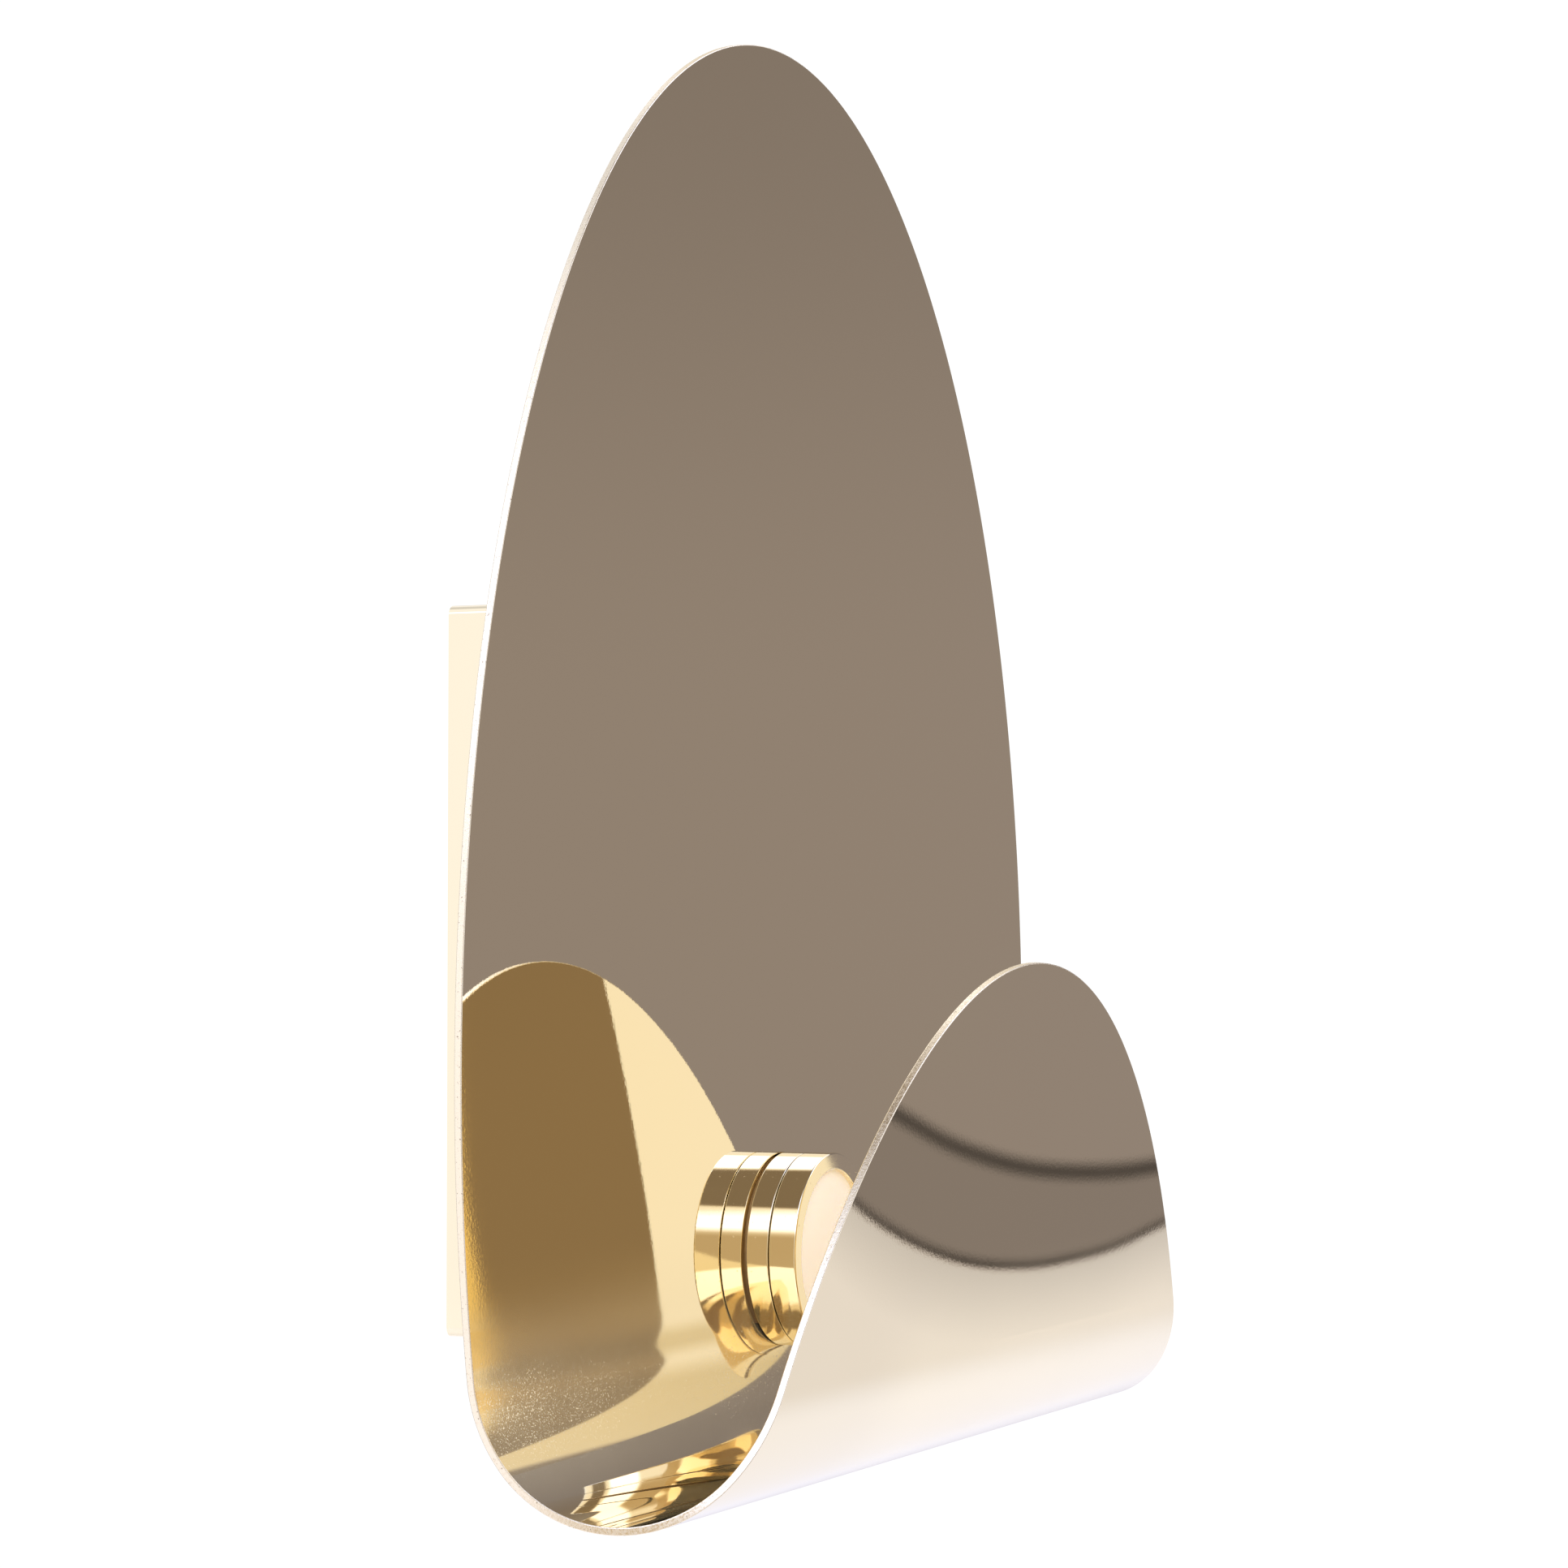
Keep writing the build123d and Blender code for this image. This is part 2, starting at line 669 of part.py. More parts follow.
earth_screw = flat_head_screws(
    [(earth_x, earth_z)], washer_front, earth_screw_radius, earth_head_radius, earth_head_height)
save(earth_screw, "earth_screw")

# ---------------------------------------------------------------- lamp
base_back = sheet_front - gasket_height
shoulder_y = base_back - base_height
floor_front = base_back - base_floor
land_front = floor_front - land_height
spigot_radius = lamp_radius - bezel_wall
cavity_radius = spigot_radius - spigot_wall
spigot_front = shoulder_y - spigot_height
counterbore_radius = nipple_head_radius + hole_clearance * 2
board_radius = cavity_radius - board_clearance
board_back = land_front - pad_height
board_front = board_back - board_height
board_screw_circle = board_radius - board_screw_inset
seal_front = spigot_front - lens_seal_height
diffuser_front = seal_front - diffuser_height
bezel_back = shoulder_y - bezel_gap
bezel_bore = spigot_radius + bezel_clearance
bezel_front = diffuser_front - bezel_lip_height
diffuser_radius = bezel_bore - lens_clearance

with BuildPart() as lamp_gasket:
    with BuildSketch(facing(sheet_front, z=lamp_z)):
        Circle(lamp_radius - gasket_setback)
        with Locations((0, foot_overhang - lamp_radius)):
            Rectangle(blank_span, blank_span, align=(Align.CENTER, Align.MIN), mode=Mode.INTERSECT)
        Circle(sheet_hole_radius, mode=Mode.SUBTRACT)
    extrude(amount=gasket_height)
save(lamp_gasket, "lamp_gasket")

with BuildPart() as lamp_base:
    with BuildSketch(facing(base_back, z=lamp_z)):
        Circle(lamp_radius)
    extrude(amount=base_height)
    chamfer(lamp_base.faces().sort_by(Axis.Y)[0].edges(), edge_break)
    chamfer(lamp_base.faces().sort_by(Axis.Y)[-1].edges(), edge_break)
    with BuildSketch(facing(shoulder_y, z=lamp_z)):
        Circle(spigot_radius)
    extrude(amount=spigot_height)
    with BuildSketch(facing(land_front, z=lamp_z)):
        Circle(cavity_radius)
    extrude(amount=land_front - spigot_front, mode=Mode.SUBTRACT)
    with BuildSketch(facing(floor_front, z=lamp_z)):
        Circle(counterbore_radius)
    extrude(amount=land_height, mode=Mode.SUBTRACT)
    with BuildSketch(facing(base_back, z=lamp_z)):
        Circle(nipple_radius + thread_clearance)
    extrude(amount=base_floor, mode=Mode.SUBTRACT)
    with BuildSketch(facing(land_front, z=lamp_z)):
        with PolarLocations(board_screw_circle, 2):
            Circle(board_screw_radius + thread_clearance)
    extrude(amount=-land_height, mode=Mode.SUBTRACT)
save(lamp_base, "lamp_base")

nipple_back = canopy_front_inside + nipple_washer_height + nipple_nut_height + nipple_tail / 2
with BuildPart() as lamp_nipple:
    with BuildSketch(facing(nipple_back, z=lamp_z)):
        Circle(nipple_radius)
    extrude(amount=nipple_back - floor_front)
    with BuildSketch(facing(floor_front, z=lamp_z)):
        Circle(nipple_head_radius)
    extrude(amount=nipple_head_height)
    chamfer(lamp_nipple.faces().sort_by(Axis.Y)[-1].edges(), edge_break * 2)
    with BuildSketch(facing(nipple_back, z=lamp_z)):
        Circle(nipple_bore)
    extrude(amount=nipple_back - floor_front + nipple_head_height, mode=Mode.SUBTRACT)
save(lamp_nipple, "lamp_nipple")

with BuildPart() as nipple_washer:
    with BuildSketch(facing(canopy_front_inside, z=lamp_z)):
        Circle(nipple_washer_radius)
        Circle(sheet_hole_radius, mode=Mode.SUBTRACT)
    extrude(amount=-nipple_washer_height)
save(nipple_washer, "nipple_washer")

with BuildPart() as nipple_nut:
    with BuildSketch(facing(canopy_front_inside + nipple_washer_height, z=lamp_z)):
        RegularPolygon(nipple_nut_across / 2, 6, major_radius=False)
        Circle(nipple_radius + thread_clearance, mode=Mode.SUBTRACT)
    extrude(amount=-nipple_nut_height)
save(nipple_nut, "nipple_nut")

with BuildPart() as thermal_pad:
    with BuildSketch(facing(land_front, z=lamp_z)):
        Circle(board_radius)
        Circle(counterbore_radius, mode=Mode.SUBTRACT)
        with PolarLocations(board_screw_circle, 2):
            Circle(board_screw_radius + hole_clearance, mode=Mode.SUBTRACT)
    extrude(amount=pad_height)
save(thermal_pad, "thermal_pad")

with BuildPart() as led_board:
    with BuildSketch(facing(board_back, z=lamp_z)):
        Circle(board_radius)
        with PolarLocations(board_screw_circle, 2):
            Circle(board_screw_radius + hole_clearance, mode=Mode.SUBTRACT)
    extrude(amount=board_height)
save(led_board, "led_board")

with BuildPart() as led_chips:
    with BuildSketch(facing(board_front, z=lamp_z)):
        for half in (0, 180):
            with PolarLocations(board_screw_circle, 5, start_angle=half + chip_step,
                                angular_range=4 * chip_step, endpoint=True):
                Rectangle(chip_size, chip_size)
        with PolarLocations(board_screw_circle / 2, 6):
            Rectangle(chip_size, chip_size)
    extrude(amount=chip_height)
save(led_chips, "led_chips")

with BuildPart() as board_screws:
    with BuildSketch(facing(floor_front - end_clearance, z=lamp_z)):
        with PolarLocations(board_screw_circle, 2):
            Circle(board_screw_radius)
    extrude(amount=floor_front - end_clearance - board_front)
    with BuildSketch(facing(board_front, z=lamp_z)):
        with PolarLocations(board_screw_circle, 2):
            Circle(board_head_radius)
    extrude(amount=board_head_height)
    fillet(board_screws.faces().group_by(Axis.Y)[0].edges(), board_head_height / 3)
save(board_screws, "board_screws")

with BuildPart() as lens_seal:
    with BuildSketch(facing(spigot_front, z=lamp_z)):
        Circle(diffuser_radius)
        Circle(cavity_radius, mode=Mode.SUBTRACT)
    extrude(amount=lens_seal_height)
save(lens_seal, "lens_seal")

with BuildPart() as diffuser:
    with BuildSketch(facing(seal_front, z=lamp_z)):
        Circle(diffuser_radius)
    extrude(amount=diffuser_height)
save(diffuser, "diffuser")

with BuildPart() as lamp_bezel:
    with BuildSketch(facing(bezel_back, z=lamp_z)):
        Circle(lamp_radius)
    extrude(amount=bezel_back - bezel_front)
    chamfer(lamp_bezel.faces().sort_by(Axis.Y)[0].edges(), edge_break)
    chamfer(lamp_bezel.faces().sort_by(Axis.Y)[-1].edges(), edge_break)
    with BuildSketch(facing(bezel_back, z=lamp_z)):
        Circle(bezel_bore)
    extrude(amount=bezel_back - diffuser_front, mode=Mode.SUBTRACT)
    with BuildSketch(facing(diffuser_front, z=lamp_z)):
        Circle(bezel_bore - bezel_lip)
    extrude(amount=bezel_lip_height, mode=Mode.SUBTRACT)
save(lamp_bezel, "lamp_bezel")

# ---------------------------------------------------------------- leads
arc_share = 0.45             # of the shorter of the two runs that an arc joins


def corner_radii(points):
    """An arc as large as its two runs allow, for each corner of a route."""
    radii = []
    for before, corner, after in zip(points, points[1:], points[2:]):
        run_in = Vector(*corner) - Vector(*before)
        run_out = Vector(*after) - Vector(*corner)
        half_turn = radians(run_in.get_angle(run_out)) / 2
        radii.append(arc_share * min(run_in.length, run_out.length) / tan(half_turn))
    return radii


def lead(points, name):
    """A lead of straight runs joined by tangent arcs."""
    radii = corner_radii(points)
    print(name, "bend radii", [round(radius, 1) for radius in radii])
    with BuildPart() as wire:
        with BuildLine() as route:
            FilletPolyline(*points, radius=radii)
        with BuildSketch(Plane(origin=points[0], z_dir=route.line % 0)):
            Circle(lead_radius)
        sweep()
    save(wire, name)


plug_in = lead_radius * 2    # how far a lead reaches into the driver
tag_top = earth_z + tag_barrel_start + tag_barrel_length
out_low = driver_z - lead_pitch / 2
out_high = driver_z + lead_pitch / 2
plate_side = backplate_width / 2

lead((
    (lead_side, board_back, lamp_z),
    (lead_side, canopy_front_inside + 13, lamp_z),
    (26, -22, lamp_z + 24),
    (driver_end_right + 15, -19, 0),
    (driver_end_right + 17, lead_y, out_high - 9),
    (driver_end_right + 10, lead_y, out_high),
    (driver_end_right - plug_in, lead_y, out_high),
), "lamp_lead_positive")
lead((
    (-lead_side, board_back, lamp_z),
    (-lead_side, canopy_front_inside + 17, lamp_z),
    (22, -16, lamp_z + 22),
    (driver_end_right + 10, -15, 0),
    (driver_end_right + 12, lead_y, out_low - 6),
    (driver_end_right + 8, lead_y, out_low),
    (driver_end_right - plug_in, lead_y, out_low),
), "lamp_lead_negative")
lead((
    (-block_pitch, pole_y, pole_top),
    (-block_pitch, pole_y, pole_top + 8),
    (-24, -9, -8),
    (7 - plate_side, -8, 4),
    (2 - plate_side, lead_y, out_low - 8),
    (driver_end_left - 8, lead_y, out_low),
    (driver_end_left + plug_in, lead_y, out_low),
), "live_lead")
lead((
    (0, pole_y, pole_top),
    (0, pole_y, pole_top + 7),
    (-16, -13, -8),
    (5 - plate_side, -13, 2),
    (-3 - plate_side, lead_y, out_high - 10),
    (driver_end_left - 9, lead_y, out_high),
    (driver_end_left + plug_in, lead_y, out_high),
), "neutral_lead")
lead((
    (block_pitch, pole_y, pole_top),
    (block_pitch, pole_y, pole_top + 8),
    (22, -8, -11),
    (earth_x - 6, -6, -7),
    (earth_x, tag_barrel_y, tag_top + 6),
    (earth_x, tag_barrel_y, tag_top),
), "earth_lead")
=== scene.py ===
"""Wall light: an oval sheet of mirror-polished brass curled up at the foot around a small lamp.

Metres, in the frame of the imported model: X across the wall, -Y into the room, +Z up.
"""

import json
from math import cos, pi, radians, sin, tan

import bpy
import numpy as np
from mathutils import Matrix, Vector


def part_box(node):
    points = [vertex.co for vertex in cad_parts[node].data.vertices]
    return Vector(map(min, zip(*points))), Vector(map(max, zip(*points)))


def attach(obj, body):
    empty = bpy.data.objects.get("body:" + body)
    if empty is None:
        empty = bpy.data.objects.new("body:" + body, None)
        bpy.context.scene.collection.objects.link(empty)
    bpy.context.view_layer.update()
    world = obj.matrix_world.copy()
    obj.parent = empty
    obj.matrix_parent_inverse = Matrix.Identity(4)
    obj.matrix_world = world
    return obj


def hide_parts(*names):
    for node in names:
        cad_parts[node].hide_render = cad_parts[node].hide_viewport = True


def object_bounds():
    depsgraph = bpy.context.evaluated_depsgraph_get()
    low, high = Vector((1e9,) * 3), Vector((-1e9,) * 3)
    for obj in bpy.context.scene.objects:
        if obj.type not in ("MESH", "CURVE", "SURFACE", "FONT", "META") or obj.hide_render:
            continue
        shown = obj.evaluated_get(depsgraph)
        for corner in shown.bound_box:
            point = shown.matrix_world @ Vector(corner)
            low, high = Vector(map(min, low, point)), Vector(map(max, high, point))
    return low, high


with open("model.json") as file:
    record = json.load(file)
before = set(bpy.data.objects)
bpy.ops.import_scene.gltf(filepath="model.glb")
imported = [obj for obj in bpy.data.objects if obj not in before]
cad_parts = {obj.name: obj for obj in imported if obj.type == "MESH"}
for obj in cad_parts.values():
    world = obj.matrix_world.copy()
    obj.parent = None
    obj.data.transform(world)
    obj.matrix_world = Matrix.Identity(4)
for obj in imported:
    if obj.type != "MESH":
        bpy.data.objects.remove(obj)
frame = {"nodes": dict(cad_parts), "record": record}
cad_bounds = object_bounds()
nodes = frame["nodes"]
MM = 0.001


# ---------------------------------------------------------------- the camera
CAMERA_PLACE = (-0.7947, -0.3921, 0.0059)
CAMERA_AZIMUTH = radians(66.14)      # of its line of sight, from +Y towards +X
CAMERA_RISE = radians(2.15)
CAMERA_LENS = 95.46
CAMERA_SENSOR = 36.0


def make_camera():
    """The one camera: from the left of the light and level with its middle."""
    data = bpy.data.cameras.new("camera")
    data.lens = CAMERA_LENS
    data.sensor_width = CAMERA_SENSOR
    camera = bpy.data.objects.new("camera", data)
    sight = Vector((sin(CAMERA_AZIMUTH) * cos(CAMERA_RISE), cos(CAMERA_AZIMUTH) * cos(CAMERA_RISE),
                    sin(CAMERA_RISE)))
    camera.location = CAMERA_PLACE
    camera.rotation_euler = sight.to_track_quat("-Z", "Y").to_euler()
    bpy.context.scene.collection.objects.link(camera)
    bpy.context.scene.camera = camera


make_camera()


# ---------------------------------------------------------------- node helpers
class Graph:
    """A short way to build a node tree: every method returns an output socket."""

    def __init__(self, tree):
        self.tree = tree
        self.tree.nodes.clear()

    def node(self, kind, **settings):
        made = self.tree.nodes.new(kind)
        for name, value in settings.items():
            setattr(made, name, value)
        return made

    def feed(self, socket, value):
        if isinstance(value, bpy.types.NodeSocket):
            self.tree.links.new(value, socket)
        else:
            socket.default_value = value

    def math(self, operation, *values):
        made = self.node("ShaderNodeMath", operation=operation)
        for socket, value in zip(made.inputs, values):
            self.feed(socket, value)
        return made.outputs[0]

    def smooth(self, value, low, high, at_low=0.0, at_high=1.0):
        """at_low below low, at_high above high, an S-curve between."""
        made = self.node("ShaderNodeMapRange", interpolation_type="SMOOTHSTEP")
        for socket, item in zip(made.inputs, (value, low, high, at_low, at_high)):
            self.feed(socket, item)
        return made.outputs[0]

    def mix(self, share, first, second):
        """first where share is 0, second where it is 1."""
        made = self.node("ShaderNodeMix", data_type="FLOAT")
        self.feed(made.inputs[0], share)
        self.feed(made.inputs[2], first)
        self.feed(made.inputs[3], second)
        return made.outputs[0]

    def mix_colour(self, share, first, second):
        made = self.node("ShaderNodeMix", data_type="RGBA")
        self.feed(made.inputs[0], share)
        self.feed(made.inputs[6], first)
        self.feed(made.inputs[7], second)
        return made.outputs[2]

    def place(self, stretch=(1.0, 1.0, 1.0)):
        """Object coordinates in metres, stretched."""
        coordinate = self.node("ShaderNodeTexCoord")
        mapping = self.node("ShaderNodeMapping")
        self.feed(mapping.inputs["Vector"], coordinate.outputs["Object"])
        mapping.inputs["Scale"].default_value = stretch
        return mapping.outputs[0]

    def noise(self, where, scale, detail=2.0, roughness=0.5):
        made = self.node("ShaderNodeTexNoise")
        self.feed(made.inputs["Vector"], where)
        made.inputs["Scale"].default_value = scale
        made.inputs["Detail"].default_value = detail
        made.inputs["Roughness"].default_value = roughness
        return made.outputs["Fac"]

    def bump(self, height, strength, distance, below=None):
        made = self.node("ShaderNodeBump")
        made.inputs["Strength"].default_value = strength
        made.inputs["Distance"].default_value = distance
        self.feed(made.inputs["Height"], height)
        if below is not None:
            self.feed(made.inputs["Normal"], below)
        return made.outputs[0]

    def principled(self, **inputs):
        """A Principled surface on the material's output."""
        shader = self.node("ShaderNodeBsdfPrincipled")
        for name, value in inputs.items():
            self.feed(shader.inputs[name.replace("_", " ")], value)
        output = self.node("ShaderNodeOutputMaterial")
        self.tree.links.new(shader.outputs[0], output.inputs["Surface"])
        return shader


def new_graph(name):
    material = bpy.data.materials.new(name)
    material.use_nodes = True
    return material, Graph(material.node_tree)


# ---------------------------------------------------------------- materials
BRASS = (0.955, 0.832, 0.575, 1.0)
BRASS_DEEP = (0.90, 0.74, 0.46, 1.0)
DUST = (1.0, 0.86, 0.60, 1.0)
FILED = (1.0, 0.87, 0.64, 1.0)
NICK = (0.40, 0.31, 0.19, 1.0)
LATHE_LINES = 9000.0                 # per metre
CURL_TOP = -0.056                    # dust starts below this height, and is full at the next
CURL_FOOT = -0.080
CURL_FRONT = -0.056                  # it starts behind this depth, and is full at the next
CURL_BACK = -0.040
CURL_LEFT = -0.075                   # nearer the lamp it lies further forward too
CURL_LAMP = -0.035


def polished_brass():
    """Mirror polish: faint waves in the sheet, fine grain, buffing hairlines, and dust in the curl."""
    material, g = new_graph("polished_brass")
    where = g.place()
    buffing = g.noise(g.place((60.0, 900.0, 900.0)), 4.0, 3.0, 0.6)
    cross_buffing = g.noise(g.place((900.0, 900.0, 90.0)), 3.0, 2.0, 0.6)
    grain = g.noise(where, 1500.0, 2.0, 0.6)
    clouds = g.noise(where, 22.0, 3.0, 0.5)
    split = g.node("ShaderNodeSeparateXYZ")
    g.feed(split.inputs[0], g.node("ShaderNodeTexCoord").outputs["Object"])
    by_lamp = g.smooth(split.outputs["X"], CURL_LEFT, CURL_LAMP, 0.0, 0.7)
    forward = g.math("MAXIMUM", g.smooth(split.outputs["Y"], CURL_FRONT, CURL_BACK), by_lamp)
    in_curl = g.math("MULTIPLY", g.smooth(split.outputs["Z"], CURL_TOP, CURL_FOOT), forward)
    settled = g.math("MULTIPLY", in_curl, g.smooth(clouds, 0.25, 0.75, 0.70, 1.0))
    rarity = g.mix(settled, 0.80, 0.55)
    specks = g.smooth(g.noise(where, 3200.0, 2.0, 0.6), rarity, g.math("ADD", rarity, 0.08))
    haze = g.math("MULTIPLY_ADD", settled, 0.030, g.smooth(clouds, 0.3, 0.7, 0.008, 0.016))
    film = g.math("MULTIPLY", settled, g.math("MULTIPLY_ADD", specks, 0.45, 0.14))
    wave = g.bump(g.noise(where, 14.0, 1.0, 0.4), 0.10, 0.0004)
    lines = g.bump(g.mix(0.5, buffing, cross_buffing), 0.010, 0.00002, wave)
    fine = g.bump(grain, 0.035, 0.00002, lines)
    g.principled(Base_Color=g.mix_colour(film, BRASS, DUST), Metallic=g.math("SUBTRACT", 1.0, film),
                 Roughness=g.math("ADD", haze, g.math("MULTIPLY", specks, 0.15)), Normal=fine)
    return material


def sawn_brass():
    """The sheet's cut edge: filed along its length and less bright than the faces."""
    material, g = new_graph("filed_brass_edge")
    nicks = g.noise(g.place(), 1900.0, 3.0, 0.7)
    long_marks = g.noise(g.place(), 300.0, 2.0, 0.6)
    bump = g.bump(nicks, 0.35, 0.00010, g.bump(long_marks, 0.2, 0.0001))
    deep = g.smooth(nicks, 0.62, 0.70)
    g.principled(Base_Color=g.mix_colour(deep, FILED, NICK),
                 Metallic=1.0, Roughness=g.smooth(nicks, 0.3, 0.7, 0.18, 0.45),
                 Normal=bump)
    return material


def turned_brass():
    """Turned and polished rings: very fine lathe lines around the lamp's axis."""
    material, g = new_graph("turned_brass")
    split = g.node("ShaderNodeSeparateXYZ")
    g.feed(split.inputs[0], g.node("ShaderNodeTexCoord").outputs["Object"])
    across = g.math("SUBTRACT", split.outputs["X"], LAMP_CENTRE[0])
    above = g.math("SUBTRACT", split.outputs["Z"], LAMP_CENTRE[2])
    radius = g.math("SQRT", g.math("ADD", g.math("MULTIPLY", across, across),
                                   g.math("MULTIPLY", above, above)))
    rings = g.node("ShaderNodeCombineXYZ")
    g.feed(rings.inputs[0], g.math("MULTIPLY", radius, LATHE_LINES))
    g.feed(rings.inputs[1], g.math("MULTIPLY", split.outputs["Y"], LATHE_LINES))
    lines = g.noise(rings.outputs[0], 1.0, 2.0, 0.6)
    specks = g.smooth(g.noise(g.place(), 1200.0, 1.0, 0.4), 0.72, 0.78)
    clouds = g.noise(g.place(), 120.0, 2.0, 0.5)
    roughness = g.math("ADD", g.smooth(clouds, 0.3, 0.7, 0.035, 0.065), g.math("MULTIPLY", specks, 0.2))
    g.principled(Base_Color=g.mix_colour(specks, BRASS, BRASS_DEEP), Metallic=1.0, Roughness=roughness,
                 Normal=g.bump(lines, 0.06, 0.00003))
    return material


def plain_metal(name, colour, roughness, grain):
    """Small fittings: turned brass, or bright zinc with its cloudy crystals."""
    material, g = new_graph(name)
    where = g.place()
    clouds = g.noise(where, 260.0, 3.0, 0.6)
    darker = tuple(0.88 * part for part in colour[:3]) + (1.0,)
    g.principled(Base_Color=g.mix_colour(g.smooth(clouds, 0.35, 0.65), colour, darker), Metallic=1.0,
                 Roughness=g.smooth(clouds, 0.3, 0.7, roughness * 0.8, roughness * 1.25),
                 Normal=g.bump(g.noise(where, grain, 2.0, 0.6), 0.15, 0.00004))
    return material


def moulded(name, colour, roughness, grain=2500.0, depth=0.00003):
    """Moulded plastic or rubber with a fine spark-eroded grain."""
    material, g = new_graph(name)
    where = g.place()
    shade = tuple(0.88 * part for part in colour[:3]) + (1.0,)
    clouds = g.noise(where, 90.0, 2.0, 0.5)
    g.principled(Base_Color=g.mix_colour(clouds, colour, shade),
                 Roughness=g.smooth(clouds, 0.3, 0.7, roughness * 0.9, min(1.0, roughness * 1.1)),
                 Normal=g.bump(g.noise(where, grain, 2.0, 0.6), 0.3, depth))
    return material


def opal_diffuser():
    """Opal acrylic with a satin front."""
    material, g = new_graph("opal_acrylic")
    where = g.place()
    satin = g.noise(where, 3000.0, 2.0, 0.6)
    shader = g.principled(Base_Color=(0.93, 0.84, 0.72, 1.0), Roughness=0.35,
                          Normal=g.bump(satin, 0.1, 0.00002))
    shader.inputs["Subsurface Weight"].default_value = 0.5
    shader.inputs["Subsurface Radius"].default_value = (0.004, 0.003, 0.002)
    shader.inputs["Subsurface Scale"].default_value = 1.0
    shader.inputs["Emission Color"].default_value = (1.0, 0.80, 0.56, 1.0)
    shader.inputs["Emission Strength"].default_value = 0.42
    return material


def circuit_board():
    """Green solder mask with the tracks showing faintly under it."""
    material, g = new_graph("circuit_board")
    tracks = g.node("ShaderNodeTexBrick")
    g.feed(tracks.inputs["Vector"], g.place())
    tracks.inputs["Scale"].default_value = 220.0
    tracks.inputs["Mortar Size"].default_value = 0.06
    g.principled(Base_Color=g.mix_colour(tracks.outputs["Fac"], (0.03, 0.20, 0.09, 1), (0.06, 0.30, 0.14, 1)),
                 Roughness=0.3, Normal=g.bump(tracks.outputs["Fac"], 0.3, 0.00003))
    return material


def earth_sleeve():
    """Green insulation with a yellow stripe that winds round it."""
    material, g = new_graph("green_yellow_sleeve")
    stripes = g.node("ShaderNodeTexWave")
    g.feed(stripes.inputs["Vector"], g.place())
    stripes.inputs["Scale"].default_value = 160.0
    share = g.smooth(stripes.outputs["Fac"], 0.45, 0.55)
    g.principled(Base_Color=g.mix_colour(share, (0.05, 0.35, 0.06, 1), (0.75, 0.62, 0.04, 1)),
                 Roughness=0.35, Normal=g.bump(g.noise(g.place(), 1500.0), 0.1, 0.00003))
    return material


# ---------------------------------------------------------------- mesh helpers
def add_object(name, vertices, faces, materials, face_slots=None):
    """A mesh object in the scene."""
    mesh = bpy.data.meshes.new(name)
    mesh.from_pydata([tuple(v) for v in vertices], [], faces)
    for material in materials:
        mesh.materials.append(material)
    if face_slots is not None:
        mesh.polygons.foreach_set("material_index", face_slots)
    mesh.polygons.foreach_set("use_smooth", [True] * len(mesh.polygons))
    mesh.update()
    made = bpy.data.objects.new(name, mesh)
    bpy.context.scene.collection.objects.link(made)
    return made


def rounded_profile(corners, steps=4):
    """A closed profile of (radius, depth, rounding) corners, each rounding drawn as an arc.

    Every point comes with the profile's outward normal just before it and just after it.
    """
    flat = [np.array(corner[:2]) for corner in corners]
    count = len(flat)
    area = sum(flat[i][0] * flat[(i + 1) % count][1] - flat[(i + 1) % count][0] * flat[i][1]
               for i in range(count))
    turn = 1.0 if area > 0 else -1.0

    def outward(start, end):
        along = (end - start) / np.linalg.norm(end - start)
        return turn * np.array((along[1], -along[0]))

    points = []
    for index, (radius, depth, rounding) in enumerate(corners):
        here = flat[index]
        before = flat[index - 1] - here
        after = flat[(index + 1) % count] - here
        normal_before = outward(flat[index - 1], here)
        normal_after = outward(here, flat[(index + 1) % count])
        if rounding == 0:
            points.append((here, normal_before, normal_after))
            continue
        before = before / np.linalg.norm(before)
        after = after / np.linalg.norm(after)
        middle = before + after
        middle = middle / np.linalg.norm(middle)
        half = np.arccos(np.clip(np.dot(before, after), -1, 1)) / 2
        centre = here + middle * rounding / sin(half)
        start = here + before * rounding / tan(half) - centre
        end = here + after * rounding / tan(half) - centre
        for step in range(steps + 1):
            blend = start + (end - start) * step / steps
            lean = blend / np.linalg.norm(blend)
            normal = lean if np.dot(lean, normal_before + normal_after) > 0 else -lean
            points.append((centre + lean * rounding, normal, normal))
    return points


def turned(name, corners, centre, back, material, segments=160):
    """A lathe-turned ring about an axis along Y: depth runs to the front from back."""
    profile = rounded_profile(corners)
    count = len(profile)
    vertices, faces, normals = [], [], []
    for segment in range(segments):
        angle = 2 * pi * segment / segments
        for (radius, depth), _, _ in profile:
            vertices.append((centre[0] + radius * cos(angle), back - depth, centre[2] + radius * sin(angle)))
    for segment in range(segments):
        following = (segment + 1) % segments
        near = 2 * pi * segment / segments
        far = 2 * pi * (segment + 1) / segments
        for index in range(count):
            step = (index + 1) % count
            faces.append((following * count + index, following * count + step,
                          segment * count + step, segment * count + index))
            leaving, arriving = profile[index][2], profile[step][1]
            corners_round = ((leaving, far), (arriving, far), (arriving, near), (leaving, near))
            for (across, forward), angle in corners_round:
                normals.append((across * cos(angle), -forward, across * sin(angle)))
    made = add_object(name, vertices, faces, [material])
    made.data.normals_split_custom_set(normals)
    return made


